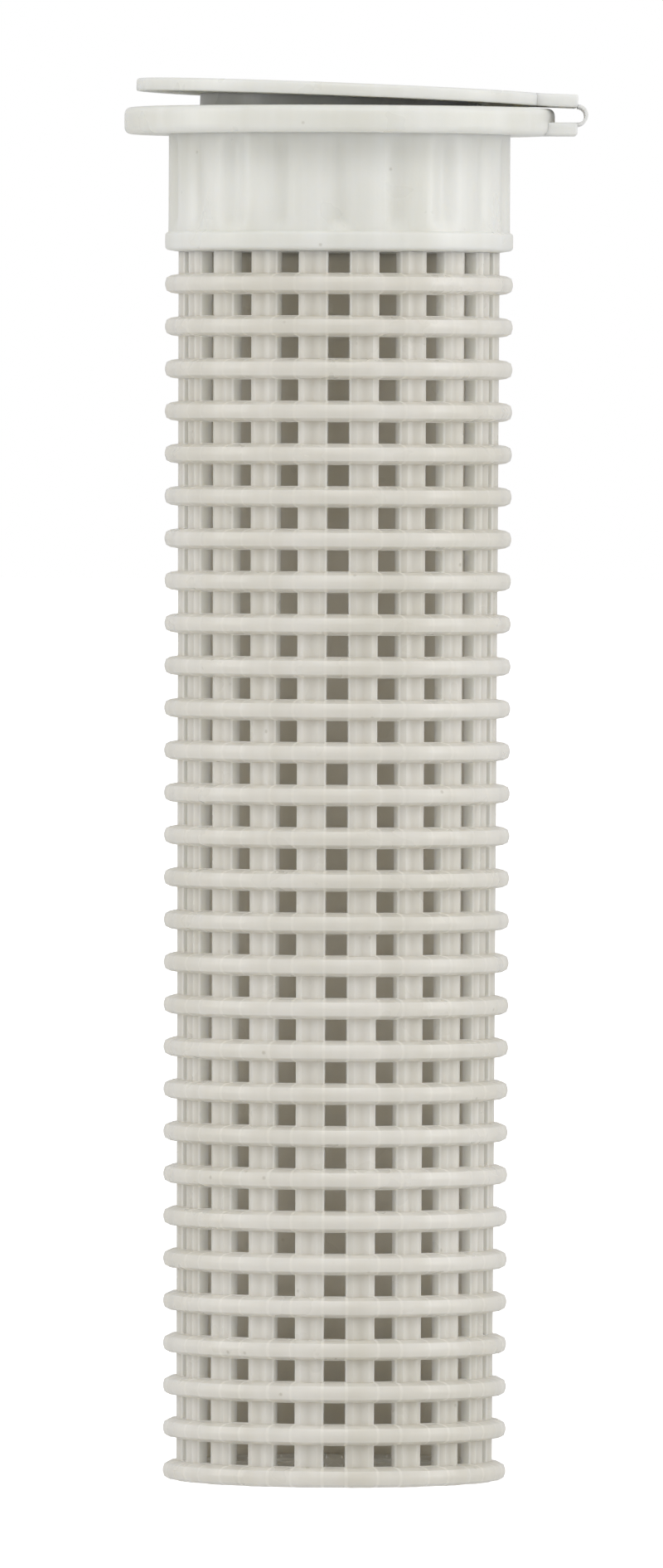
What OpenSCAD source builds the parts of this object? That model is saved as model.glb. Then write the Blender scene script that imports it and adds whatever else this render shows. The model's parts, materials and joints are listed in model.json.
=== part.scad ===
// Plastic mesh sleeve for injection anchors, with a lid on a living hinge.
// Frame: millimetres, +Z up, origin at the middle of the sleeve's closed end, so the sleeve
// stands on z = 0 and the hole's face is at z = sleeve_len. The lid's hinge is on the +X side.

/* [Sleeve] */
// Diameter over the rings, which is the drilled hole's diameter
sleeve_d = 22; // [20:0.5:26]
// Length that goes into the hole, from the closed end to the flange's underside
sleeve_len = 85; // [60:1:130]
// Diameter of the round bore through the collar
bore_d = 17.5; // [15:0.5:18]

/* [Mesh] */
// Number of window columns round the wall: odd, so that each window faces solid wall
column_count = 19; // [13:2:23]
// Number of rings from the closed end up to the collar, each with a row of windows above it
ring_count = 29; // [18:1:32]
// Width of one window
window_w = 1.45; // [0.8:0.05:1.8]
// How far the rings stand out past the wall
ring_out = 0.85; // [0.4:0.05:1.2]
// Height of a ring where it leaves the wall
ring_root_w = 1.25; // [1:0.05:1.5]
// Height of a ring at its outer edge
ring_tip_w = 1.0; // [0.5:0.05:1.1]
// Thickness of the grid that closes the lower end
end_t = 1.2; // [0.8:0.1:2]

/* [Head] */
// Height of the fluted collar below the flange
collar_h = 7.4; // [5:0.1:12]
// Diameter of the flange
flange_d = 27.2; // [25:0.2:32]
// Thickness of the flange
flange_t = 1.7; // [1.2:0.1:2.5]

/* [Lid] */
// Diameter of the lid
lid_d = 25.8; // [24:0.2:30]
// Thickness of the lid
lid_t = 0.8; // [0.6:0.1:1.2]
// Number of petals that centre the nozzle and the rod
petal_count = 8; // [6:1:10]
// Radius of the hole that the petal tips leave
tip_r = 3.0; // [2.5:0.1:4]
// How far the lid stands ajar
ajar = 2.0; // [0:0.5:10]

/* [Hinge] */
// Width of the hinge strap
strap_w = 7.0; // [4:0.5:10]
// Distance from the sleeve's axis to the hinge axis
hinge_x = 15.5; // [15:0.1:17]
// Thickness of the leaf that stands out of the flange
leaf_t = 0.8; // [0.5:0.1:1]
// Thickness of the film between the two leaves
film_t = 0.2; // [0.15:0.05:0.4]

/* [Hidden] */
$fn = 96;

IVORY = [0.84, 0.83, 0.78];
PALE = [0.88, 0.88, 0.85];

// How far a cutting shape runs past the faces it cuts
cut = 1;

ring_r = sleeve_d / 2;
wall_r = ring_r - ring_out;
wall_t = 1.0;
wall_in_r = wall_r - wall_t;
ring_slope = (ring_root_w - ring_tip_w) / 2;
bore_r = bore_d / 2;
mesh_h = sleeve_len - collar_h;
ring_pitch = mesh_h / ring_count;
column_step = 360 / column_count;
first_column = -90;
land = 0.05;
window_h = ring_pitch - ring_root_w - 2 * land;

collar_inset = 0.2;
collar_r = ring_r - collar_inset;
flute_r = 0.9;
flute_gap = 0.2;
flute_depth = 0.3;
flute_z = mesh_h + ring_root_w + flute_gap;

flange_r = flange_d / 2;
flange_top = sleeve_len + flange_t;
rim_chamfer = 0.25;

lid_gap = 0.05;
lid_z = flange_top + lid_gap;
lid_r = lid_d / 2;
lid_chamfer = 0.15;
recess_step = 0.45;
recess_r = bore_r + recess_step;
spigot_clearance = 0.35;
spigot_r = recess_r - spigot_clearance;
spigot_h = lid_z - sleeve_len - spigot_clearance;
spigot_wall = 1.0;
spigot_in_r = spigot_r - spigot_wall;

petal_t = 0.5;
petal_gap = 0.1;
petal_slit = 0.3;
petal_step = 360 / petal_count;
half_step = petal_step / 2;
corner_margin = 0.04;
hole_corner_r = spigot_in_r - corner_margin;
hole_apothem = hole_corner_r * cos(half_step);
petal_root = hole_apothem - petal_gap;

leaf_setback = 0.5;
leaf_end_x = hinge_x - leaf_setback;
leaf_in_x = 10;
leaf_top = sleeve_len + leaf_t;
hinge_z = (leaf_top + lid_z) / 2;
film_in_r = hinge_z - leaf_top;
film_upper_deg = 78;
film_quadrant = 2;

spoke_count = 8;
spoke_w = 1.1;
hub_r = 2.6;
grid_rim_w = 1.0;
grid_in_r = wall_in_r - grid_rim_w;
spoke_in = hub_r / 2;
spoke_out = wall_in_r - grid_rim_w / 2;

// The outer side of one ring that stands on height z, as points of radius and height.
function ring_points(z) = [
    [wall_r, z],
    [ring_r, z + ring_slope],
    [ring_r, z + ring_slope + ring_tip_w],
    [wall_r, z + ring_root_w]
];

// The wall and its rings in section.
module tube_outline() {
    polygon(concat(
        [[wall_in_r, 0]],
        [for (k = [0:ring_count - 1]) each ring_points(k * ring_pitch)],
        [[wall_r, mesh_h], [wall_in_r, mesh_h]]
    ));
}

// One row of windows: a star with an arm through the wall at each column.
module window_row() {
    arm_end = wall_r + cut;
    notch_r = window_w / 2 / sin(column_step / 2);
    linear_extrude(window_h)
        polygon([
            for (i = [0:column_count - 1])
                let (a = first_column + i * column_step, n = a - column_step / 2)
                    each [
                        [notch_r * cos(n), notch_r * sin(n)],
                        [
                            arm_end * cos(a) + window_w / 2 * sin(a),
                            arm_end * sin(a) - window_w / 2 * cos(a)
                        ],
                        [
                            arm_end * cos(a) - window_w / 2 * sin(a),
                            arm_end * sin(a) + window_w / 2 * cos(a)
                        ]
                    ]
        ]);
}

// The open part of the sleeve: a ringed wall with a row of windows above each ring.
module mesh_tube() {
    color(IVORY)
        difference() {
            rotate_extrude()
                tube_outline();
            for (k = [0:ring_count - 1])
                translate([0, 0, k * ring_pitch + ring_root_w + land])
                    window_row();
        }
}

// The grid that closes the lower end: a hub, spokes and a rim inside the wall.
module end_grid() {
    color(IVORY)
        union() {
            cylinder(r = hub_r, h = end_t);
            difference() {
                cylinder(r = wall_in_r, h = end_t);
                translate([0, 0, -cut])
                    cylinder(r = grid_in_r, h = end_t + 2 * cut);
            }
            for (i = [0:spoke_count - 1])
                rotate([0, 0, i * 360 / spoke_count])
                    translate([spoke_in, -spoke_w / 2, 0])
                        cube([spoke_out - spoke_in, spoke_w, end_t]);
        }
}

// The solid neck that runs up through the flange: a lip at its foot, a flute over each window
// column, and a recess at its top for the lid's spigot.
module collar() {
    color(PALE)
        difference() {
            rotate_extrude()
                polygon(concat(
                    [[bore_r, mesh_h]],
                    [for (i = [0:2]) ring_points(mesh_h)[i]],
                    [
                        [collar_r, mesh_h + ring_root_w],
                        [collar_r, flange_top],
                        [recess_r, flange_top],
                        [recess_r, sleeve_len],
                        [bore_r, sleeve_len]
                    ]
                ));
            for (i = [0:column_count - 1])
                rotate([0, 0, first_column + i * column_step])
                    translate([collar_r + flute_r - flute_depth, 0, flute_z])
                        cylinder(r = flute_r, h = sleeve_len - flute_z);
        }
}

// The flange round the neck, which stops against the face round the hole.
module flange() {
    color(PALE)
        rotate_extrude()
            polygon([
                [collar_r, sleeve_len],
                [flange_r - rim_chamfer, sleeve_len],
                [flange_r, sleeve_len + rim_chamfer],
                [flange_r, flange_top - rim_chamfer],
                [flange_r - rim_chamfer, flange_top],
                [collar_r, flange_top]
            ]);
}

// A leaf of the hinge strap: a flat tongue outside a round edge of radius edge_r.
module leaf(edge_r, z, thickness) {
    difference() {
        translate([leaf_in_x, -strap_w / 2, z])
            cube([leaf_end_x - leaf_in_x, strap_w, thickness]);
        translate([0, 0, z - cut])
            cylinder(r = edge_r, h = thickness + 2 * cut);
    }
}

// The leaf on the flange, flush with its underside.
module hinge_leaf() {
    color(PALE)
        leaf(flange_r, sleeve_len, leaf_t);
}

// The living hinge: a thin film that bends round from the lower leaf to the upper one.
module hinge_film() {
    color(PALE)
        translate([leaf_end_x, strap_w / 2, hinge_z])
            rotate([90, 0, 0])
                linear_extrude(strap_w)
                    intersection() {
                        difference() {
                            circle(r = film_in_r + film_t);
                            circle(r = film_in_r);
                        }
                        union() {
                            translate([0, -film_quadrant])
                                square([film_quadrant, film_quadrant]);
                            polygon([
                                [0, 0],
                                [film_quadrant, 0],
                                [film_quadrant, film_quadrant],
                                [film_quadrant / tan(film_upper_deg), film_quadrant]
                            ]);
                        }
                    }
}

// Turns the lid's parts about the hinge axis, from shut to where the lid stands.
module ajar_lid() {
    translate([hinge_x, 0, hinge_z])
        rotate([0, ajar, 0])
            translate([-hinge_x, 0, -hinge_z])
                children();
}

// The flat disc of the lid, with a straight-sided hole that the petals fill.
module lid_plate() {
    color(PALE)
        ajar_lid()
            difference() {
                rotate_extrude()
                    polygon([
                        [0, lid_z],
                        [lid_r, lid_z],
                        [lid_r, lid_z + lid_t - lid_chamfer],
                        [lid_r - lid_chamfer, lid_z + lid_t],
                        [0, lid_z + lid_t]
                    ]);
                translate([0, 0, lid_z - cut])
                    rotate([0, 0, half_step])
                        cylinder(r = hole_corner_r, h = lid_t + 2 * cut, $fn = petal_count);
            }
}

// The leaf on the lid.
module lid_leaf() {
    color(PALE)
        ajar_lid()
            leaf(lid_r, lid_z, lid_t);
}

// The short tube under the lid that centres it in the collar's recess.
module lid_spigot() {
    color(PALE)
        ajar_lid()
            translate([0, 0, lid_z - spigot_h])
                difference() {
                    cylinder(r = spigot_r, h = spigot_h);
                    translate([0, 0, -cut])
                        cylinder(r = spigot_in_r, h = spigot_h + 2 * cut);
                }
}

// Petal number i: a tapering flap on a film along its straight root.
module petal(i) {
    root_half = petal_root * tan(half_step) - petal_slit / 2 / cos(half_step);
    color(PALE)
        ajar_lid()
            rotate([0, 0, (i - 1) * petal_step])
                translate([0, 0, lid_z])
                    linear_extrude(petal_t)
                        difference() {
                            polygon([
                                [petal_slit / 2 / sin(half_step), 0],
                                [petal_root, -root_half],
                                [petal_root, root_half]
                            ]);
                            circle(r = tip_r);
                        }
}

mesh_tube();
end_grid();
collar();
flange();
hinge_leaf();
hinge_film();
lid_plate();
lid_leaf();
lid_spigot();
for (i = [1:petal_count])
    petal(i);
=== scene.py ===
# Visual model of a plastic mesh sleeve for injection anchors, built round its CAD frame.
# Metres in the frame's axes: +Z up the sleeve from its closed end, the lid's hinge on the +X side.
import json
import math

import bmesh
import bpy
from bpy.props import FloatProperty, FloatVectorProperty, IntProperty, PointerProperty
from mathutils import Matrix, Vector


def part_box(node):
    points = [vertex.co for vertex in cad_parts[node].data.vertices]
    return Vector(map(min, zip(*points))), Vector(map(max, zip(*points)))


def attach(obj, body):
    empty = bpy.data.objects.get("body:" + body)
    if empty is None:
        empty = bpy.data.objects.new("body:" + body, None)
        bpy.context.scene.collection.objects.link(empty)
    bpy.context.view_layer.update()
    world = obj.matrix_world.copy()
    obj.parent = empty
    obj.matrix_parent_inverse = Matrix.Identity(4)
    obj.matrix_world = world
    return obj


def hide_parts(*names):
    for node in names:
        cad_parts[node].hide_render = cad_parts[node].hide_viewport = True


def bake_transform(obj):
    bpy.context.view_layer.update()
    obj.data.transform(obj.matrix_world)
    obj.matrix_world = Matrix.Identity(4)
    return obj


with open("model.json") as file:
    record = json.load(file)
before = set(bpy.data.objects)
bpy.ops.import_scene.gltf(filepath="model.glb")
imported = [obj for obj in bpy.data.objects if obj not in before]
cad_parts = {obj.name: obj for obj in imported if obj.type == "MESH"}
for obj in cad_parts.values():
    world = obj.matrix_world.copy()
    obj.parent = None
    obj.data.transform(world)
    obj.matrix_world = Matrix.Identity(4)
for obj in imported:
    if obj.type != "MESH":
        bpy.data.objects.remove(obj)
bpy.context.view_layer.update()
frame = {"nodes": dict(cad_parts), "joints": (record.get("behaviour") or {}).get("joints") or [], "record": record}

bl_info = {
    "name": "Mesh Sleeve with a Hinged Lid",
    "version": (1, 0, 0),
    "blender": (4, 5, 0),
    "location": "3D View > Sidebar > Sleeve",
    "description": "Builds a ringed mesh sleeve with a fluted neck, a stop flange and a hinged lid",
    "category": "Object",
}

MM = 0.001
MERGE = 0.001 * MM
FULL_TURN = 2 * math.pi

# Sizes and places that the frame gives.
MOUNTS = {m["name"]: m for m in frame["record"]["mounts"]}
LID_JOINT = next(j for j in frame["joints"] if j["name"] == "lid_hinge")
HINGE = Vector(LID_JOINT["pos_m"])
AJAR = -math.radians(LID_JOINT["range_deg"][0])
PETALS = sorted(n for n in frame["nodes"] if n.startswith("petal_"))
RING_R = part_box("mesh_tube")[1].x
MESH_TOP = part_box("mesh_tube")[1].z
WALL_IN_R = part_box("end_grid")[1].x
GRID_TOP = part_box("end_grid")[1].z
BORE_R = MOUNTS["mouth"]["dims"]["r_mm"] * MM
FLANGE_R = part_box("flange")[1].x
FLANGE_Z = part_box("flange")[0].z
FLANGE_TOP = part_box("flange")[1].z
LID_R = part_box("lid_plate")[1].y
SPIGOT_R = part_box("lid_spigot")[1].y
STRAP_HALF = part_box("hinge_leaf")[1].y
LEAF_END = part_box("hinge_leaf")[1].x
LEAF_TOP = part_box("hinge_leaf")[1].z
LID_Z = 2 * HINGE.z - LEAF_TOP

# Where a bar's ridge and its rounded shoulder lie, as shares of its half width.
RIDGE_SHARE = 0.53
SHOULDER_SHARE = 0.84

# Share of the bars' relief that is gone at the tip of a ring.
RELIEF_LOST = 0.75

# The power that narrows the flutes, and the share of their depth that is left at the flange.
FLUTE_POWER = 2.4
FLUTE_LEFT = 0.35

# Facets round the neck and flange for each column, and round the lid and its ring for each petal.
COLUMN_FACETS = 12
LID_FACETS = 24
RING_FACETS = 16

# How far inside the centring ring the corners of the lid's hole lie.
CORNER_MARGIN = 0.04 * MM

# Shares of the plastic's colour in its deeper patches and in its specks, and the colour of the
# painted highlight and painted glow along the windows' edges.
DEEP_TINT = (0.9, 0.895, 0.865)
SPECK_TINT = (0.55, 0.52, 0.46)
PAINTED_EDGE_HIGHLIGHT = (0.96, 0.93, 0.86, 1.0)

# Places and sizes of the lamps, and how the side lamps differ in power.
RIGHT_LAMP = Vector((0.62, -0.12, 0.16))
LEFT_LAMP = Vector((-0.62, -0.12, 0.16))
FRONT_LAMP = Vector((0.05, -0.9, 0.75))
SIDE_SIZE = (0.24, 0.8)
FRONT_SIZE = (0.8, 0.5)
RIGHT_SHARE = 1.1
LEFT_SHARE = 0.92

# The point that the lamps face, and how far to the side of it the camera aims.
MIDDLE = Vector((0.0, 0.0, 44.0 * MM))
AIM_ASIDE = Vector((-0.34 * MM, 0.0, 0.0))

# The floor's radius, how far it lies below the foot, and the length below which a ray that meets
# it goes through.
FLOOR_RADIUS = 8.0
FLOOR_DROP = 0.02 * MM
CONTACT = 0.5 * MM


class MeshSizes(bpy.types.PropertyGroup):
    """Sizes of the ringed mesh wall and the grille at its foot"""

    columns: IntProperty(
        name="Columns",
        description="Number of window columns round the wall",
        default=19,
        min=9,
        max=31,
    )
    rings: IntProperty(
        name="Rings", description="Number of rings up to the neck", default=29, min=8, max=40
    )
    ring_out: FloatProperty(
        name="Ring Depth",
        description="How far the rings stand out past the wall",
        default=0.85 * MM,
        unit="LENGTH",
        subtype="DISTANCE",
    )
    ring_root: FloatProperty(
        name="Ring Root",
        description="Height of a ring where it leaves the wall",
        default=1.25 * MM,
        unit="LENGTH",
        subtype="DISTANCE",
    )
    ring_tip: FloatProperty(
        name="Ring Tip",
        description="Height of a ring at its outer edge",
        default=1.0 * MM,
        unit="LENGTH",
        subtype="DISTANCE",
    )
    tip_round: FloatProperty(
        name="Tip Rounding",
        description="Rounding of the outer edges of a ring",
        default=0.4 * MM,
        unit="LENGTH",
        subtype="DISTANCE",
    )
    window_width: FloatProperty(
        name="Window Width",
        description="Width of one window",
        default=1.45 * MM,
        unit="LENGTH",
        subtype="DISTANCE",
    )
    land: FloatProperty(
        name="Land",
        description="Height of the wall left between a window and the ring next to it",
        default=0.05 * MM,
        unit="LENGTH",
        subtype="DISTANCE",
    )
    edge_drop: FloatProperty(
        name="Bar Edge Drop",
        description="How far a bar's rounded edges lie below its ridges",
        default=0.27 * MM,
        unit="LENGTH",
        subtype="DISTANCE",
    )
    groove: FloatProperty(
        name="Bar Groove",
        description="Depth of the shallow groove down the middle of a bar",
        default=0.15 * MM,
        unit="LENGTH",
        subtype="DISTANCE",
    )
    draft: FloatProperty(
        name="Draft",
        description="How much smaller the radius is at the foot than at the neck",
        default=0.16 * MM,
        unit="LENGTH",
        subtype="DISTANCE",
    )
    grille_hub: FloatProperty(
        name="Grille Hub",
        description="Radius of the hub of the grille",
        default=2.6 * MM,
        unit="LENGTH",
        subtype="DISTANCE",
    )
    grille_rim: FloatProperty(
        name="Grille Rim",
        description="Width of the rim of the grille",
        default=1.0 * MM,
        unit="LENGTH",
        subtype="DISTANCE",
    )
    spoke_width: FloatProperty(
        name="Spoke Width",
        description="Width of one spoke of the grille",
        default=1.1 * MM,
        unit="LENGTH",
        subtype="DISTANCE",
    )
    spokes: IntProperty(
        name="Spokes", description="Number of spokes in the grille", default=8, min=3, max=12
    )


class HeadSizes(bpy.types.PropertyGroup):
    """Sizes of the neck, the flange, the lid, its petals and the hinge"""

    neck_inset: FloatProperty(
        name="Neck Inset",
        description="How much smaller the neck is in radius than the rings",
        default=0.2 * MM,
        unit="LENGTH",
        subtype="DISTANCE",
    )
    flute_depth: FloatProperty(
        name="Flute Depth",
        description="Depth of the flutes in the neck",
        default=0.3 * MM,
        unit="LENGTH",
        subtype="DISTANCE",
    )
    flange_round: FloatProperty(
        name="Flange Rounding",
        description="Rounding of the flange's rim",
        default=0.5 * MM,
        unit="LENGTH",
        subtype="DISTANCE",
    )
    recess_step: FloatProperty(
        name="Recess Step",
        description="How much wider the recess for the lid is in radius than the bore",
        default=0.45 * MM,
        unit="LENGTH",
        subtype="DISTANCE",
    )
    lid_thickness: FloatProperty(
        name="Lid Thickness",
        description="Thickness of the lid",
        default=0.8 * MM,
        unit="LENGTH",
        subtype="DISTANCE",
    )
    ring_height: FloatProperty(
        name="Centring Ring Height",
        description="Height of the ring under the lid",
        default=1.4 * MM,
        unit="LENGTH",
        subtype="DISTANCE",
    )
    ring_wall: FloatProperty(
        name="Centring Ring Wall",
        description="Wall of the ring under the lid",
        default=1.0 * MM,
        unit="LENGTH",
        subtype="DISTANCE",
    )
    petal_thickness: FloatProperty(
        name="Petal Thickness",
        description="Thickness of a petal",
        default=0.5 * MM,
        unit="LENGTH",
        subtype="DISTANCE",
    )
    petal_slit: FloatProperty(
        name="Petal Slit",
        description="Width of the slit between two petals",
        default=0.3 * MM,
        unit="LENGTH",
        subtype="DISTANCE",
    )
    petal_gap: FloatProperty(
        name="Petal Gap",
        description="Width of the gap between a petal's root and the lid",
        default=0.1 * MM,
        unit="LENGTH",
        subtype="DISTANCE",
    )
    petal_tip: FloatProperty(
        name="Petal Tip Radius",
        description="Radius of the hole that the tips of the petals leave",
        default=3.0 * MM,
        unit="LENGTH",
        subtype="DISTANCE",
    )
    film: FloatProperty(
        name="Film Thickness",
        description="Thickness of the film between the two tongues",
        default=0.2 * MM,
        unit="LENGTH",
        subtype="DISTANCE",
    )


class FinishSettings(bpy.types.PropertyGroup):
    """Colours and gloss of the plastic"""

    # The mesh and the head are the same plastic. The mesh's darker colour is painted shade, for the shade among
    # its rings and windows.
    mesh_shaded_colour: FloatVectorProperty(
        name="Mesh Colour",
        description="Colour of the plastic of the mesh",
        default=(0.795, 0.77, 0.715),
        size=3,
        min=0.0,
        max=1.0,
        subtype="COLOR",
    )
    head_colour: FloatVectorProperty(
        name="Head Colour",
        description="Colour of the plastic of the neck, flange and lid",
        default=(0.88, 0.88, 0.84),
        size=3,
        min=0.0,
        max=1.0,
        subtype="COLOR",
    )


class StageSettings(bpy.types.PropertyGroup):
    """Camera and lamps"""

    distance: FloatProperty(
        name="Camera Distance",
        description="Distance from the camera to the middle of the sleeve",
        default=1.25,
        unit="LENGTH",
        subtype="DISTANCE",
    )
    frame_height: FloatProperty(
        name="Frame Height",
        description="Height that the camera takes in at the sleeve",
        default=99.1 * MM,
        unit="LENGTH",
        subtype="DISTANCE",
    )
    elevation: FloatProperty(
        name="Camera Elevation",
        description="How far the camera looks down",
        default=math.radians(1.0),
        unit="ROTATION",
        subtype="ANGLE",
    )
    roll: FloatProperty(
        name="Camera Roll",
        description="How far the camera is turned about its line of sight",
        default=math.radians(0.24),
        unit="ROTATION",
        subtype="ANGLE",
    )
    side_power: FloatProperty(
        name="Side Lamps",
        description="Power of the soft lamps at the sides",
        default=1.2,
        unit="POWER",
    )
    front_power: FloatProperty(
        name="Front Lamp",
        description="Power of the soft lamp above the camera",
        default=2.3,
        unit="POWER",
    )
    ambient: FloatProperty(
        name="Ambient Light",
        description="Strength of the even light from all round",
        default=0.62,
        min=0.0,
        max=2.0,
        subtype="FACTOR",
    )


# Shapes


def soften(corners, steps):
    """Points of a closed outline from corners of radius, height and rounding."""
    points = []
    for i, (radius, height, rounding) in enumerate(corners):
        here = Vector((radius, height))
        if rounding == 0:
            points.append(here)
            continue
        before = (Vector(corners[i - 1][:2]) - here).normalized() * rounding
        after = (Vector(corners[(i + 1) % len(corners)][:2]) - here).normalized() * rounding
        for k in range(steps + 1):
            t = k / steps
            points.append(here + before * (1 - t) ** 2 + after * t**2)
    return points


def closed_loop(bm, points):
    """A closed loop of edges in the XZ plane, through points of radius and height."""
    verts = [bm.verts.new((p.x, 0.0, p.y)) for p in points]
    edges = [bm.edges.new(pair) for pair in zip(verts, verts[1:] + verts[:1])]
    return verts + edges


def turned(corners, steps, rounding_steps=4):
    """A mesh turned on the Z axis from an outline of softened corners."""
    bm = bmesh.new()
    loop = closed_loop(bm, soften(corners, rounding_steps))
    bmesh.ops.spin(
        bm,
        geom=loop,
        cent=(0, 0, 0),
        axis=(0, 0, 1),
        dvec=(0, 0, 0),
        angle=FULL_TURN,
        steps=steps,
        use_merge=True,
    )
    return bm


def swing(bm, geom, angle, steps=1, axis=(0, 0, 1), centre=(0, 0, 0)):
    """Sweeps an open outline round an axis and returns its far end."""
    made = bmesh.ops.spin(
        bm, geom=geom, cent=centre, axis=axis, dvec=(0, 0, 0), angle=angle, steps=steps
    )
    return made["geom_last"]


def repeat_round(bm, count):
    """Repeats everything round the Z axis, so that there are count of it."""
    step = FULL_TURN / count
    bmesh.ops.spin(
        bm,
        geom=bm.verts[:] + bm.edges[:] + bm.faces[:],
        cent=(0, 0, 0),
        axis=(0, 0, 1),
        dvec=(0, 0, 0),
        angle=step * (count - 1),
        steps=count - 1,
        use_duplicate=True,
    )


def polar(vert):
    """A vertex's radius and angle round the Z axis."""
    return math.hypot(vert.co.x, vert.co.y), math.atan2(vert.co.y, vert.co.x)


def set_radius(vert, radius):
    """Moves a vertex straight out from the Z axis, or in, to a radius."""
    here = math.hypot(vert.co.x, vert.co.y)
    vert.co.x *= radius / here
    vert.co.y *= radius / here


def lid_ajar(bm):
    """Turns a shape of the shut lid to where the lid stands ajar."""
    bmesh.ops.rotate(bm, verts=bm.verts, cent=HINGE, matrix=Matrix.Rotation(AJAR, 3, "Y"))


def block(low, high, edge_round, keep_square):
    """A block with rounded edges. Those that lie wholly below x = keep_square stay square."""
    bm = bmesh.new()
    size = Vector(high) - Vector(low)
    middle = (Vector(high) + Vector(low)) / 2
    bmesh.ops.create_cube(bm, size=1, matrix=Matrix.LocRotScale(middle, None, size))
    edges = [e for e in bm.edges if max(v.co.x for v in e.verts) > keep_square]
    bmesh.ops.bevel(
        bm,
        geom=edges,
        offset=edge_round,
        affect="EDGES",
        segments=3,
        profile=0.5,
        material=-1,
    )
    return bm


def make_piece(name, bm, nodes, slot, body, sharp=35):
    """Finishes a mesh as a piece that stands for CAD nodes and rides on a body."""
    bmesh.ops.remove_doubles(bm, verts=bm.verts, dist=MERGE)
    bmesh.ops.recalc_face_normals(bm, faces=bm.faces)
    mesh = bpy.data.meshes.new(name)
    bm.to_mesh(mesh)
    bm.free()
    mesh.shade_smooth()
    mesh.set_sharp_from_angle(angle=math.radians(sharp))
    mesh.materials.append(plastic(slot))
    piece = bpy.data.objects.new(name, mesh)
    bpy.context.scene.collection.objects.link(piece)
    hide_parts(*nodes)
    if body:
        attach(piece, body)
    return piece


# Finishes


def new_group(name, inputs, outputs):
    """An empty shader node group with named inputs and outputs."""
    group = bpy.data.node_groups.new(name, "ShaderNodeTree")
    for label, kind, value in inputs:
        socket = group.interface.new_socket(label, in_out="INPUT", socket_type=kind)
        if value is not None:
            socket.default_value = value
    for label, kind in outputs:
        group.interface.new_socket(label, in_out="OUTPUT", socket_type=kind)
    start = group.nodes.new("NodeGroupInput")
    end = group.nodes.new("NodeGroupOutput")
    return group, start.outputs, end.inputs


def math_node(nodes, links, operation, *values):
    """A maths node with its inputs set or linked, and its output."""
    node = nodes.new("ShaderNodeMath")
    node.operation = operation
    for socket, value in zip(node.inputs, values):
        if isinstance(value, (int, float)):
            socket.default_value = value
        else:
            links.new(value, socket)
    return node.outputs[0]


def noise(nodes, links, vector, scale, detail=3.0, stretch=None):
    """A noise texture on a vector, stretched along the axes if asked, and its value."""
    if stretch:
        mapping = nodes.new("ShaderNodeMapping")
        mapping.inputs["Scale"].default_value = stretch
        links.new(vector, mapping.inputs["Vector"])
        vector = mapping.outputs["Vector"]
    texture = nodes.new("ShaderNodeTexNoise")
    texture.inputs["Detail"].default_value = detail
    if isinstance(scale, (int, float)):
        texture.inputs["Scale"].default_value = scale
    else:
        links.new(scale, texture.inputs["Scale"])
    links.new(vector, texture.inputs["Vector"])
    return texture.outputs["Fac"]


def ramp(nodes, links, value, low, high, to_low=0.0, to_high=1.0):
    """A value mapped smoothly from one range to another."""
    node = nodes.new("ShaderNodeMapRange")
    node.interpolation_type = "SMOOTHSTEP"
    node.inputs["From Min"].default_value = low
    node.inputs["From Max"].default_value = high
    node.inputs["To Min"].default_value = to_low
    node.inputs["To Max"].default_value = to_high
    links.new(value, node.inputs["Value"])
    return node.outputs["Result"]


def blend_colour(nodes, links, factor, first, second):
    """Two colours mixed by a factor."""
    node = nodes.new("ShaderNodeMix")
    node.data_type = "RGBA"
    sockets = (node.inputs[0], node.inputs[6], node.inputs[7])
    for socket, value in zip(sockets, (factor, first, second)):
        if isinstance(value, (int, float, tuple)):
            socket.default_value = value
        else:
            links.new(value, socket)
    return node.outputs[2]


def resin_tone_group():
    """Cloudy patches and drawn-out flow streaks in moulded resin."""
    group, given, result = new_group(
        "Resin tone",
        (
            ("Vector", "NodeSocketVector", None),
            ("Light", "NodeSocketColor", None),
            ("Deep", "NodeSocketColor", None),
            ("Patch Scale", "NodeSocketFloat", 90.0),
        ),
        (("Color", "NodeSocketColor"), ("Patches", "NodeSocketFloat")),
    )
    nodes, links = group.nodes, group.links
    patches = noise(nodes, links, given["Vector"], given["Patch Scale"], detail=4.0)
    streaks = noise(nodes, links, given["Vector"], 700.0, stretch=(1.0, 1.0, 0.06))
    both = math_node(nodes, links, "MULTIPLY_ADD", streaks, 0.45, patches)
    tone = ramp(nodes, links, both, 0.5, 0.98)
    links.new(blend_colour(nodes, links, tone, given["Light"], given["Deep"]), result["Color"])
    links.new(patches, result["Patches"])
    return group


def speck_group():
    """Fine dust and small dark inclusions."""
    group, given, result = new_group(
        "Resin specks",
        (("Vector", "NodeSocketVector", None), ("Scale", "NodeSocketFloat", 900.0)),
        (("Mask", "NodeSocketFloat"),),
    )
    nodes, links = group.nodes, group.links
    cells = nodes.new("ShaderNodeTexVoronoi")
    cells.feature = "F1"
    links.new(given["Vector"], cells.inputs["Vector"])
    links.new(given["Scale"], cells.inputs["Scale"])
    spots = ramp(nodes, links, cells.outputs["Distance"], 0.04, 0.16, 1.0, 0.0)
    chance = nodes.new("ShaderNodeSeparateColor")
    links.new(cells.outputs["Color"], chance.inputs["Color"])
    few = math_node(nodes, links, "GREATER_THAN", chance.outputs[0], 0.9)
    links.new(math_node(nodes, links, "MULTIPLY", spots, few), result["Mask"])
    return group


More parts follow.
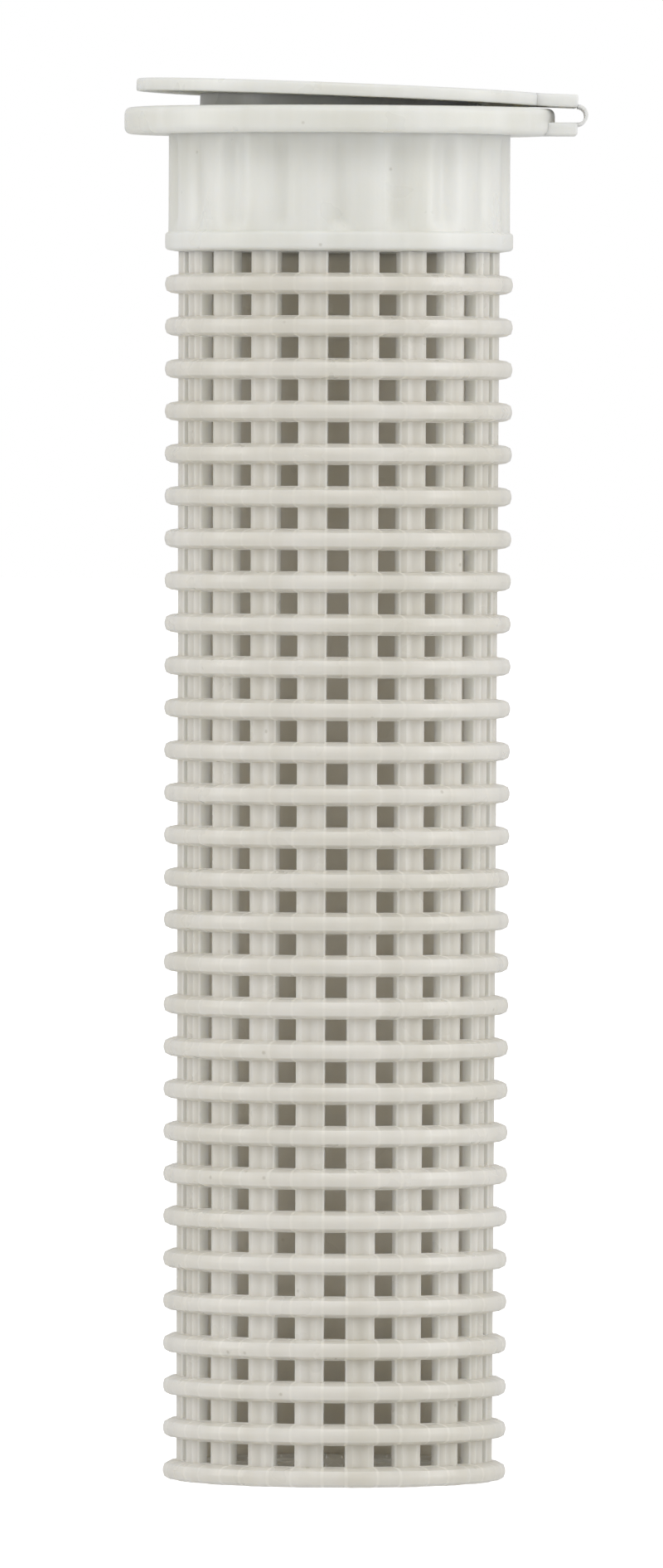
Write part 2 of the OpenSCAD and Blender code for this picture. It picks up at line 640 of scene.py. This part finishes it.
def grain_group():
    """The satin texture of a spark-eroded mould, with faint lines of the mould's tooling."""
    group, given, result = new_group(
        "Satin grain",
        (("Vector", "NodeSocketVector", None), ("Scale", "NodeSocketFloat", 5200.0)),
        (("Height", "NodeSocketFloat"), ("Gloss", "NodeSocketFloat")),
    )
    nodes, links = group.nodes, group.links
    fine = noise(nodes, links, given["Vector"], given["Scale"], detail=2.0)
    lines = noise(nodes, links, given["Vector"], 420.0, detail=2.0, stretch=(1.0, 1.0, 9.0))
    links.new(math_node(nodes, links, "MULTIPLY_ADD", lines, 0.5, fine), result["Height"])
    links.new(noise(nodes, links, given["Vector"], 260.0), result["Gloss"])
    return group


def shared_group(name, build):
    """A node group that is built once and then shared."""
    return bpy.data.node_groups.get(name) or build()


def place_group(nodes, group, **values):
    """Puts a node group in a material with its own values."""
    node = nodes.new("ShaderNodeGroup")
    node.node_tree = group
    for label, value in values.items():
        node.inputs[label.replace("_", " ")].default_value = value
    return node


def tinted(colour, tint):
    """A colour times a tint, channel by channel, and opaque."""
    return tuple(a * b for a, b in zip(colour, tint)) + (1.0,)


def plastic(slot):
    """The satin, slightly translucent plastic of a material slot."""
    name = "satin_" + slot
    found = bpy.data.materials.get(name)
    if found:
        return found
    finish = bpy.context.scene.sleeve_finish
    # The mesh's colour carries painted shade, because it is darker than the head's though the plastic is the same.
    colour = finish.mesh_shaded_colour if slot == "mesh_plastic" else finish.head_colour
    light = tuple(colour) + (1.0,)
    deep = tinted(colour, DEEP_TINT)
    material = bpy.data.materials.new(name)
    material.use_nodes = True
    nodes, links = material.node_tree.nodes, material.node_tree.links
    shader = nodes["Principled BSDF"]
    place = nodes.new("ShaderNodeTexCoord").outputs["Object"]

    tone = place_group(nodes, shared_group("Resin tone", resin_tone_group), Light=light, Deep=deep)
    specks = place_group(nodes, shared_group("Resin specks", speck_group))
    grain = place_group(nodes, shared_group("Satin grain", grain_group))
    for node in (tone, specks, grain):
        links.new(place, node.inputs["Vector"])

    speck_colour = tinted(colour, SPECK_TINT)
    speck_share = math_node(nodes, links, "MULTIPLY", specks.outputs["Mask"], 0.5)
    base = blend_colour(nodes, links, speck_share, tone.outputs["Color"], speck_colour)
    # The mesh gets a painted highlight and painted glow along its windows' edges.
    if slot == "mesh_plastic":
        base = paint_edge_highlights(nodes, links, place, base)
    links.new(base, shader.inputs["Base Color"])
    gloss = ramp(nodes, links, grain.outputs["Gloss"], 0.3, 0.7, 0.26, 0.4)
    links.new(gloss, shader.inputs["Roughness"])
    shader.inputs["IOR"].default_value = 1.49
    shader.inputs["Subsurface Weight"].default_value = 0.75
    shader.inputs["Subsurface Radius"].default_value = (1.0, 0.95, 0.85)
    shader.inputs["Subsurface Scale"].default_value = 1.2 * MM
    bump = nodes.new("ShaderNodeBump")
    bump.inputs["Strength"].default_value = 0.12
    bump.inputs["Distance"].default_value = 0.04 * MM
    links.new(grain.outputs["Height"], bump.inputs["Height"])
    links.new(bump.outputs["Normal"], shader.inputs["Normal"])
    return material


def paint_edge_highlights(nodes, links, place, base):
    """Paints light into the colour: a painted highlight and painted glow in narrow bands along the windows' sides,
    as light through a thin edge would look.

    The bands follow the angle alone, so they cross the grille too. They fade towards the
    rings' tips.
    """
    sizes = bpy.context.scene.sleeve_mesh
    step = FULL_TURN / sizes.columns
    wall_r = RING_R - sizes.ring_out
    edge_share = 0.5 - math.asin(sizes.window_width / 2 / wall_r) / step
    split = nodes.new("ShaderNodeSeparateXYZ")
    links.new(place, split.inputs[0])
    angle = math_node(nodes, links, "ARCTAN2", split.outputs["Y"], split.outputs["X"])
    turns = math_node(nodes, links, "MULTIPLY_ADD", angle, 1.0 / step, (math.pi + step) / 2 / step)
    column = math_node(nodes, links, "FRACT", turns)
    from_window = math_node(nodes, links, "SUBTRACT", column, 0.5)
    from_window = math_node(nodes, links, "ABSOLUTE", from_window)
    from_edge = math_node(nodes, links, "SUBTRACT", 0.5 - edge_share, from_window)
    from_edge = math_node(nodes, links, "ABSOLUTE", from_edge)
    # Painted highlight: lightest in a narrow band at each bar's edge.
    band = ramp(nodes, links, from_edge, 0.012, 0.04, 1.0, 0.0)
    square = math_node(nodes, links, "MULTIPLY", split.outputs["X"], split.outputs["X"])
    square = math_node(nodes, links, "MULTIPLY_ADD", split.outputs["Y"], split.outputs["Y"], square)
    radius = math_node(nodes, links, "SQRT", square)
    # The painted highlight is strongest at the wall and fades towards the rings' tips.
    strength = ramp(nodes, links, radius, wall_r, RING_R, 0.9, 0.06)
    glow = math_node(nodes, links, "MULTIPLY", band, strength)
    return blend_colour(nodes, links, glow, base, PAINTED_EDGE_HIGHLIGHT)


# Pieces


def bar_relief(share, sizes):
    """Depth of a bar's face at a share of the way from its middle to its edge."""
    groove = sizes.groove * max(0.0, 1.0 - share / RIDGE_SHARE)
    edge = sizes.edge_drop * (max(0.0, share - RIDGE_SHARE) / (1.0 - RIDGE_SHARE)) ** 2
    return groove + edge


def wall_outline(sizes, pitch, wall_r):
    """The wall and its rings in section, as corners of radius, height and rounding."""
    slope = (sizes.ring_root - sizes.ring_tip) / 2
    corners = [(WALL_IN_R, 0.0, 0)]
    for k in range(sizes.rings):
        foot = k * pitch
        corners.append((wall_r, foot, 0))
        corners.append((RING_R, foot + slope, sizes.tip_round))
        corners.append((RING_R, foot + slope + sizes.ring_tip, sizes.tip_round))
        corners.append((wall_r, foot + sizes.ring_root, 0))
        corners.append((wall_r, foot + sizes.ring_root + sizes.land, 0))
        corners.append((wall_r, foot + pitch - sizes.land, 0))
    corners.append((wall_r, MESH_TOP, 0))
    corners.append((WALL_IN_R, MESH_TOP, 0))
    for k in reversed(range(sizes.rings)):
        foot = k * pitch
        corners.append((WALL_IN_R, foot + pitch - sizes.land, 0))
        corners.append((WALL_IN_R, foot + sizes.ring_root + sizes.land, 0))
    return corners


class SLEEVE_OT_mesh_wall(bpy.types.Operator):
    """Builds the ringed wall with a row of windows above each ring"""

    bl_idname = "sleeve.mesh_wall"
    bl_label = "Ringed Wall"

    def execute(self, context):
        sizes = context.scene.sleeve_mesh
        pitch = MESH_TOP / sizes.rings
        wall_r = RING_R - sizes.ring_out
        wall_middle = (WALL_IN_R + wall_r) / 2
        step = FULL_TURN / sizes.columns
        bar = step / 2 - math.asin(sizes.window_width / 2 / wall_r)
        start = -math.pi / 2 - step / 2

        bm = bmesh.new()
        end = closed_loop(bm, soften(wall_outline(sizes, pitch, wall_r), 2))
        bmesh.ops.rotate(bm, verts=bm.verts, cent=(0, 0, 0), matrix=Matrix.Rotation(start, 3, "Z"))
        half = [0.0, RIDGE_SHARE * bar, SHOULDER_SHARE * bar, bar, step / 2]
        stations = half + [step - angle for angle in reversed(half[:-1])]
        for before, after in zip(stations, stations[1:]):
            end = swing(bm, end, after - before)

        def turned_by(x, y):
            return (math.atan2(y, x) - start) % FULL_TURN

        def window_row(z):
            """Number of the window row that a height lies in, or None between rows."""
            row = int(z // pitch)
            height = z - row * pitch
            inside = sizes.ring_root + sizes.land < height < pitch - sizes.land
            return row if inside else None

        # One column is built and then repeated. Its windows are cut out of both faces of the wall.
        panes = []
        for face in bm.faces:
            centre = face.calc_center_median()
            angle = turned_by(centre.x, centre.y)
            if window_row(centre.z) is not None and bar < angle < step - bar:
                panes.append(face)
        bmesh.ops.delete(bm, geom=panes, context="FACES")

        # The rims of each row's window, to be joined through the wall.
        rims = {}
        for edge in bm.edges:
            if not edge.is_boundary:
                continue
            centre = (edge.verts[0].co + edge.verts[1].co) / 2
            angle = turned_by(centre.x, centre.y)
            if bar * 0.99 < angle < step - bar * 0.99:
                rims.setdefault(int((centre.z + sizes.land / 2) // pitch), []).append(edge)
        # The outer face gets the bars' relief and the draft.
        for vert in bm.verts:
            radius = polar(vert)[0]
            if radius < wall_middle:
                continue
            offset = turned_by(vert.co.x, vert.co.y)
            offset = min(offset, step - offset) if offset < step * 1.01 else 0.0
            share = min(offset / bar, 1.0)
            standing_out = (radius - wall_r) / sizes.ring_out
            drop = bar_relief(share, sizes) * (1.0 - RELIEF_LOST * standing_out)
            drop += sizes.draft * (1.0 - vert.co.z / MESH_TOP)
            set_radius(vert, radius - drop)
        for edges in rims.values():
            bmesh.ops.bridge_loops(bm, edges=edges)
        repeat_round(bm, sizes.columns)
        make_piece("ringed_wall", bm, ["mesh_tube"], "mesh_plastic", "sleeve")
        return {"FINISHED"}


class SLEEVE_OT_end_grille(bpy.types.Operator):
    """Builds the spoked grille that closes the foot of the wall"""

    bl_idname = "sleeve.end_grille"
    bl_label = "End Grille"

    def execute(self, context):
        sizes = context.scene.sleeve_mesh
        step = FULL_TURN / sizes.spokes
        open_r = WALL_IN_R - sizes.grille_rim
        half_spoke = sizes.spoke_width / 2
        hub_edge = math.asin(half_spoke / sizes.grille_hub)
        radii = [0.0, sizes.grille_hub, open_r, WALL_IN_R]

        bm = bmesh.new()
        verts = [bm.verts.new((r, 0.0, 0.0)) for r in radii]
        end = verts + [bm.edges.new(pair) for pair in zip(verts, verts[1:])]
        end = swing(bm, end, hub_edge)
        end = swing(bm, end, step - 2 * hub_edge, steps=8)
        swing(bm, end, hub_edge)
        # The sector between two spokes widens with the radius, so that the spokes stay straight.
        room = step / 2 - hub_edge
        for vert in bm.verts:
            radius, angle = polar(vert)
            if radius < sizes.grille_hub * 1.01:
                continue
            from_middle = angle - step / 2
            edge = step / 2 - math.asin(half_spoke / radius)
            if abs(from_middle) <= room * 1.001:
                turn = from_middle * (edge / room - 1.0)
                vert.co = Matrix.Rotation(turn, 3, "Z") @ vert.co
        gaps = []
        for face in bm.faces:
            centre = face.calc_center_median()
            angle = math.atan2(centre.y, centre.x)
            reach = math.hypot(centre.x, centre.y)
            if not sizes.grille_hub < reach < open_r:
                continue
            spoke_edge = math.asin(half_spoke / reach)
            if spoke_edge < angle < step - spoke_edge:
                gaps.append(face)
        bmesh.ops.delete(bm, geom=gaps, context="FACES")
        repeat_round(bm, sizes.spokes)
        bmesh.ops.remove_doubles(bm, verts=bm.verts, dist=MERGE)
        grown = bmesh.ops.extrude_face_region(bm, geom=bm.faces[:])
        top = [g for g in grown["geom"] if isinstance(g, bmesh.types.BMVert)]
        bmesh.ops.translate(bm, verts=top, vec=(0, 0, GRID_TOP))
        bmesh.ops.recalc_face_normals(bm, faces=bm.faces)
        rims = [e for e in bm.edges if e.is_manifold and e.calc_face_angle() > math.radians(60)]
        rims = [e for e in rims if abs(e.verts[0].co.z - e.verts[1].co.z) < MERGE]
        bmesh.ops.bevel(
            bm,
            geom=rims,
            offset=0.12 * MM,
            affect="EDGES",
            segments=2,
            profile=0.5,
            material=-1,
        )
        make_piece("end_grille", bm, ["end_grid"], "mesh_plastic", "sleeve")
        return {"FINISHED"}


class SLEEVE_OT_neck(bpy.types.Operator):
    """Builds the fluted neck with its lip and the recess that takes the lid"""

    bl_idname = "sleeve.neck"
    bl_label = "Fluted Neck"

    def execute(self, context):
        sizes = context.scene.sleeve_head
        mesh_sizes = context.scene.sleeve_mesh
        neck_r = RING_R - sizes.neck_inset
        slope = (mesh_sizes.ring_root - mesh_sizes.ring_tip) / 2
        lip_top = MESH_TOP + mesh_sizes.ring_root
        rows = 14
        corners = [
            (BORE_R, MESH_TOP, 0.1 * MM),
            (RING_R - mesh_sizes.ring_out, MESH_TOP, 0),
            (RING_R, MESH_TOP + slope, 0.25 * MM),
            (RING_R, lip_top - slope, 0.1 * MM),
        ]
        for k in range(rows + 1):
            corners.append((neck_r, lip_top + (FLANGE_Z - lip_top) * k / rows, 0))
        corners.append((neck_r, FLANGE_TOP, 0))
        corners.append((BORE_R + sizes.recess_step, FLANGE_TOP, 0.2 * MM))
        corners.append((BORE_R + sizes.recess_step, FLANGE_Z, 0.1 * MM))
        corners.append((BORE_R, FLANGE_Z, 0.2 * MM))
        bm = turned(corners, mesh_sizes.columns * COLUMN_FACETS)

        fade = 0.7 * MM
        for vert in bm.verts:
            radius, angle = polar(vert)
            if radius < neck_r - MERGE or radius > neck_r + MERGE or vert.co.z > FLANGE_Z + MERGE:
                continue
            wave = (1.0 + math.cos((angle + math.pi / 2) * mesh_sizes.columns)) / 2
            from_lip = min(1.0, max(0.0, (vert.co.z - lip_top) / fade))
            from_flange = min(1.0, max(0.0, (FLANGE_Z - vert.co.z) / fade))
            depth = sizes.flute_depth * wave**FLUTE_POWER * from_lip
            set_radius(vert, neck_r - depth * (FLUTE_LEFT + (1.0 - FLUTE_LEFT) * from_flange))
        make_piece("fluted_neck", bm, ["collar"], "head_plastic", "sleeve")
        return {"FINISHED"}


class SLEEVE_OT_flange(bpy.types.Operator):
    """Builds the round-rimmed flange that stops against the wall"""

    bl_idname = "sleeve.flange"
    bl_label = "Stop Flange"

    def execute(self, context):
        sizes = context.scene.sleeve_head
        neck_r = RING_R - sizes.neck_inset
        guard = sizes.flange_round * 1.3
        corners = [
            (neck_r, FLANGE_Z, 0),
            (FLANGE_R - guard, FLANGE_Z, 0),
            (FLANGE_R, FLANGE_Z, sizes.flange_round),
            (FLANGE_R, FLANGE_TOP, sizes.flange_round),
            (FLANGE_R - guard, FLANGE_TOP, 0),
            (neck_r, FLANGE_TOP, 0),
        ]
        facets = context.scene.sleeve_mesh.columns * COLUMN_FACETS
        bm = turned(corners, facets, rounding_steps=6)
        make_piece("stop_flange", bm, ["flange"], "head_plastic", "sleeve")
        return {"FINISHED"}


class SLEEVE_OT_hinge(bpy.types.Operator):
    """Builds the two tongues of the hinge and the film that bends between them"""

    bl_idname = "sleeve.hinge"
    bl_label = "Film Hinge"

    def execute(self, context):
        sizes = context.scene.sleeve_head
        edge = 0.14 * MM
        sunk = 0.7 * MM
        lift = 0.01 * MM
        lower = block(
            (FLANGE_R - sunk, -STRAP_HALF, FLANGE_Z + lift),
            (LEAF_END, STRAP_HALF, LEAF_TOP),
            edge,
            FLANGE_R,
        )
        make_piece("lower_tongue", lower, ["hinge_leaf"], "head_plastic", "sleeve")
        upper = block(
            (LID_R - sunk, -STRAP_HALF, LID_Z),
            (LEAF_END, STRAP_HALF, LID_Z + sizes.lid_thickness - lift),
            edge,
            LID_R,
        )
        lid_ajar(upper)
        make_piece("upper_tongue", upper, ["lid_leaf"], "head_plastic", "lid")

        film_in = HINGE.z - LEAF_TOP
        low = HINGE.z - film_in
        centre = Vector((LEAF_END, 0.0, HINGE.z))
        overlap = 0.1 * MM
        bm = bmesh.new()
        for y in (-STRAP_HALF + edge, STRAP_HALF - edge):
            for z in (low, low - sizes.film):
                bm.verts.new((LEAF_END - overlap, y, z))
        bm.verts.ensure_lookup_table()
        order = (0, 1, 3, 2)
        ring = [bm.verts[i] for i in order]
        loop = ring + [bm.edges.new(pair) for pair in zip(ring, ring[1:] + ring[:1])]
        straight = bmesh.ops.extrude_edge_only(bm, edges=loop[4:])["geom"]
        moved = [g for g in straight if isinstance(g, bmesh.types.BMVert)]
        bmesh.ops.translate(bm, verts=moved, vec=(overlap, 0, 0))
        end = [g for g in straight if isinstance(g, (bmesh.types.BMVert, bmesh.types.BMEdge))]
        swing(bm, end, -(math.pi - AJAR), steps=14, axis=(0, 1, 0), centre=centre)
        bmesh.ops.holes_fill(bm, edges=[e for e in bm.edges if e.is_boundary], sides=4)
        film = make_piece("hinge_strip", bm, ["hinge_film"], "head_plastic", None, sharp=50)
        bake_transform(film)
        return {"FINISHED"}


def petal_root(sizes):
    """Distance from the sleeve's axis to the straight root of a petal."""
    corner = SPIGOT_R - sizes.ring_wall - CORNER_MARGIN
    return corner * math.cos(math.pi / len(PETALS)) - sizes.petal_gap


class SLEEVE_OT_lid(bpy.types.Operator):
    """Builds the lid's disc with its straight-sided hole, and the ring that centres it"""

    bl_idname = "sleeve.lid"
    bl_label = "Lid"

    def execute(self, context):
        sizes = context.scene.sleeve_head
        lid_top = LID_Z + sizes.lid_thickness
        count = len(PETALS)
        flat = petal_root(sizes) + sizes.petal_gap
        corner = flat / math.cos(math.pi / count)
        edge = 0.22 * MM
        corners = [
            (corner, LID_Z, 0),
            (corner + 0.5 * MM, LID_Z, 0),
            (LID_R - 2 * edge, LID_Z, 0),
            (LID_R, LID_Z, edge * 0.6),
            (LID_R, lid_top, edge),
            (LID_R - 2 * edge, lid_top, 0),
            (corner + 0.5 * MM, lid_top, 0),
            (corner, lid_top, 0.12 * MM),
        ]
        bm = turned(corners, count * LID_FACETS)
        for vert in bm.verts:
            radius, angle = polar(vert)
            if radius > corner + 0.4 * MM:
                continue
            segment = FULL_TURN / count
            from_flat = (angle + segment / 2) % segment - segment / 2
            set_radius(vert, flat / math.cos(from_flat) + radius - corner)
        lid_ajar(bm)
        make_piece("lid_disc", bm, ["lid_plate"], "head_plastic", "lid")

        ring_foot = LID_Z - sizes.ring_height
        inner = SPIGOT_R - sizes.ring_wall
        ring_corners = [
            (inner, ring_foot, 0.15 * MM),
            (SPIGOT_R, ring_foot, 0.3 * MM),
            (SPIGOT_R, LID_Z, 0),
            (inner, LID_Z, 0),
        ]
        ring = turned(ring_corners, count * RING_FACETS)
        lid_ajar(ring)
        make_piece("centring_ring", ring, ["lid_spigot"], "head_plastic", "lid")
        return {"FINISHED"}


class SLEEVE_OT_petals(bpy.types.Operator):
    """Builds the ring of petals, each a flap on a thin film at its root"""

    bl_idname = "sleeve.petals"
    bl_label = "Petals"

    def execute(self, context):
        sizes = context.scene.sleeve_head
        segment = FULL_TURN / len(PETALS)
        root = petal_root(sizes)
        film_start = root - 0.35 * MM
        film_height = 0.22 * MM
        for k, node in enumerate(PETALS):
            bm = bmesh.new()
            near = bm.verts.new((sizes.petal_tip, 0.0, LID_Z))
            far = bm.verts.new((root / math.cos(segment / 2), 0.0, LID_Z))
            arm = [near, far, bm.edges.new((near, far))]
            bmesh.ops.rotate(
                bm, verts=bm.verts, cent=(0, 0, 0), matrix=Matrix.Rotation(-segment / 2, 3, "Z")
            )
            swing(bm, arm, segment, steps=8)
            for side in (-1, 1):
                normal = Vector((-math.sin(segment / 2), side * math.cos(segment / 2), 0))
                bmesh.ops.bisect_plane(
                    bm,
                    geom=bm.verts[:] + bm.edges[:] + bm.faces[:],
                    plane_co=-normal * sizes.petal_slit / 2,
                    plane_no=normal,
                    clear_outer=True,
                )
            for reach, trim in ((film_start, False), (root, True)):
                bmesh.ops.bisect_plane(
                    bm,
                    geom=bm.verts[:] + bm.edges[:] + bm.faces[:],
                    plane_co=(reach, 0, 0),
                    plane_no=(1, 0, 0),
                    clear_outer=trim,
                )
            grown = bmesh.ops.extrude_face_region(bm, geom=bm.faces[:])
            top = [g for g in grown["geom"] if isinstance(g, bmesh.types.BMVert)]
            bmesh.ops.translate(bm, verts=top, vec=(0, 0, sizes.petal_thickness))
            for vert in top:
                if vert.co.x > film_start + MERGE:
                    vert.co.z = LID_Z + film_height
            bmesh.ops.recalc_face_normals(bm, faces=bm.faces)
            high = LID_Z + sizes.petal_thickness - MERGE
            rims = []
            for e in bm.edges:
                on_top = min(v.co.z for v in e.verts) > high
                if on_top and e.is_manifold and e.calc_face_angle() > math.radians(40):
                    rims.append(e)
            bmesh.ops.bevel(
                bm,
                geom=rims,
                offset=0.09 * MM,
                affect="EDGES",
                segments=2,
                profile=0.5,
                material=-1,
            )
            bmesh.ops.rotate(
                bm, verts=bm.verts, cent=(0, 0, 0), matrix=Matrix.Rotation(k * segment, 3, "Z")
            )
            lid_ajar(bm)
            make_piece(f"petal_flap_{k + 1}", bm, [node], "head_plastic", node)
        return {"FINISHED"}


# Stage


def floor_material():
    """A white floor with a faint contact shadow, clear from below and to rays from close by."""
    material = bpy.data.materials.new("white_floor")
    material.use_nodes = True
    nodes, links = material.node_tree.nodes, material.node_tree.links
    nodes.clear()
    output = nodes.new("ShaderNodeOutputMaterial")
    path = nodes.new("ShaderNodeLightPath")
    geometry = nodes.new("ShaderNodeNewGeometry")
    paper = nodes.new("ShaderNodeBsdfDiffuse")
    paper.inputs["Color"].default_value = (0.8, 0.8, 0.8, 1.0)
    glow = nodes.new("ShaderNodeEmission")
    glow.inputs["Strength"].default_value = 0.86
    both = nodes.new("ShaderNodeAddShader")
    seen = nodes.new("ShaderNodeMixShader")
    under = nodes.new("ShaderNodeMixShader")
    clear = nodes.new("ShaderNodeBsdfTransparent")
    links.new(paper.outputs[0], both.inputs[0])
    links.new(glow.outputs[0], both.inputs[1])
    links.new(path.outputs["Is Camera Ray"], seen.inputs[0])
    links.new(paper.outputs[0], seen.inputs[1])
    links.new(both.outputs[0], seen.inputs[2])
    touching = math_node(nodes, links, "LESS_THAN", path.outputs["Ray Length"], CONTACT)
    hidden = math_node(nodes, links, "MAXIMUM", geometry.outputs["Backfacing"], touching)
    links.new(hidden, under.inputs[0])
    links.new(seen.outputs[0], under.inputs[1])
    links.new(clear.outputs[0], under.inputs[2])
    links.new(under.outputs[0], output.inputs["Surface"])
    return material


def studio_world(ambient):
    """An even light that the camera sees as white."""
    world = bpy.data.worlds.new("studio")
    world.use_nodes = True
    nodes, links = world.node_tree.nodes, world.node_tree.links
    backdrop = nodes["Background"]
    backdrop.inputs["Strength"].default_value = 1.0
    backdrop.inputs["Color"].default_value = (1.0, 1.0, 1.0, 1.0)
    fill = nodes.new("ShaderNodeBackground")
    fill.inputs["Color"].default_value = (1.0, 1.0, 1.0, 1.0)
    fill.inputs["Strength"].default_value = ambient
    path = nodes.new("ShaderNodeLightPath")
    mix = nodes.new("ShaderNodeMixShader")
    links.new(path.outputs["Is Camera Ray"], mix.inputs[0])
    links.new(fill.outputs[0], mix.inputs[1])
    links.new(backdrop.outputs[0], mix.inputs[2])
    links.new(mix.outputs[0], nodes["World Output"].inputs["Surface"])
    bpy.context.scene.world = world


def soft_lamp(name, place, size, power):
    """A rectangular lamp that faces the sleeve's middle and doesn't show in the picture."""
    data = bpy.data.lights.new(name, "AREA")
    data.shape = "RECTANGLE"
    data.size, data.size_y = size
    data.energy = power
    lamp = bpy.data.objects.new(name, data)
    lamp.location = place
    lamp.rotation_mode = "QUATERNION"
    lamp.rotation_quaternion = (MIDDLE - place).to_track_quat("-Z", "Y")
    lamp.visible_camera = False
    bpy.context.scene.collection.objects.link(lamp)


class SLEEVE_OT_stage(bpy.types.Operator):
    """Sets up the white floor, the lamps and the camera"""

    bl_idname = "sleeve.stage"
    bl_label = "Stage"

    def execute(self, context):
        stage = context.scene.sleeve_stage
        bm = bmesh.new()
        bmesh.ops.create_circle(bm, cap_ends=True, segments=96, radius=FLOOR_RADIUS)
        mesh = bpy.data.meshes.new("floor")
        bm.to_mesh(mesh)
        bm.free()
        mesh.materials.append(floor_material())
        floor = bpy.data.objects.new("floor", mesh)
        floor.location.z = -FLOOR_DROP
        context.scene.collection.objects.link(floor)
        studio_world(stage.ambient)

        soft_lamp("right_softbox", RIGHT_LAMP, SIDE_SIZE, stage.side_power * RIGHT_SHARE)
        soft_lamp("left_softbox", LEFT_LAMP, SIDE_SIZE, stage.side_power * LEFT_SHARE)
        soft_lamp("front_fill", FRONT_LAMP, FRONT_SIZE, stage.front_power)

        camera_data = bpy.data.cameras.new("camera")
        camera_data.sensor_width = 36.0
        camera_data.lens = camera_data.sensor_width * stage.distance / stage.frame_height
        camera_data.clip_end = 30.0
        camera = bpy.data.objects.new("camera", camera_data)
        aim = MIDDLE + AIM_ASIDE
        back = Vector((0.0, -math.cos(stage.elevation), math.sin(stage.elevation)))
        camera.location = aim + back * stage.distance
        camera.rotation_mode = "QUATERNION"
        turn = Matrix.Rotation(stage.roll, 3, "Z").to_quaternion()
        camera.rotation_quaternion = (-back).to_track_quat("-Z", "Y") @ turn
        context.scene.collection.objects.link(camera)
        context.scene.camera = camera
        context.scene.view_settings.view_transform = "Standard"
        return {"FINISHED"}


class SLEEVE_PT_panel(bpy.types.Panel):
    """Lists the pieces of the sleeve"""

    bl_idname = "SLEEVE_PT_panel"
    bl_label = "Mesh Sleeve"
    bl_space_type = "VIEW_3D"
    bl_region_type = "UI"
    bl_category = "Sleeve"

    def draw(self, context):
        for operator in OPERATORS:
            self.layout.operator(operator.bl_idname)
        for name in ("sleeve_mesh", "sleeve_head", "sleeve_finish", "sleeve_stage"):
            settings = getattr(context.scene, name)
            box = self.layout.box()
            for key in settings.__annotations__:
                box.prop(settings, key)


OPERATORS = (
    SLEEVE_OT_mesh_wall,
    SLEEVE_OT_end_grille,
    SLEEVE_OT_neck,
    SLEEVE_OT_flange,
    SLEEVE_OT_hinge,
    SLEEVE_OT_lid,
    SLEEVE_OT_petals,
    SLEEVE_OT_stage,
)
SETTINGS = (MeshSizes, HeadSizes, FinishSettings, StageSettings)


def register():
    """Registers the settings, the operators and the panel."""
    for cls in SETTINGS + OPERATORS + (SLEEVE_PT_panel,):
        bpy.utils.register_class(cls)
    bpy.types.Scene.sleeve_mesh = PointerProperty(type=MeshSizes)
    bpy.types.Scene.sleeve_head = PointerProperty(type=HeadSizes)
    bpy.types.Scene.sleeve_finish = PointerProperty(type=FinishSettings)
    bpy.types.Scene.sleeve_stage = PointerProperty(type=StageSettings)


def unregister():
    """Takes away what register added."""
    for name in ("sleeve_stage", "sleeve_finish", "sleeve_head", "sleeve_mesh"):
        delattr(bpy.types.Scene, name)
    for cls in reversed(SETTINGS + OPERATORS + (SLEEVE_PT_panel,)):
        bpy.utils.unregister_class(cls)


def main():
    """Builds every piece and the stage."""
    register()
    bpy.ops.sleeve.mesh_wall()
    bpy.ops.sleeve.end_grille()
    bpy.ops.sleeve.neck()
    bpy.ops.sleeve.flange()
    bpy.ops.sleeve.hinge()
    bpy.ops.sleeve.lid()
    bpy.ops.sleeve.petals()
    bpy.ops.sleeve.stage()


if __name__ == "__main__":
    main()
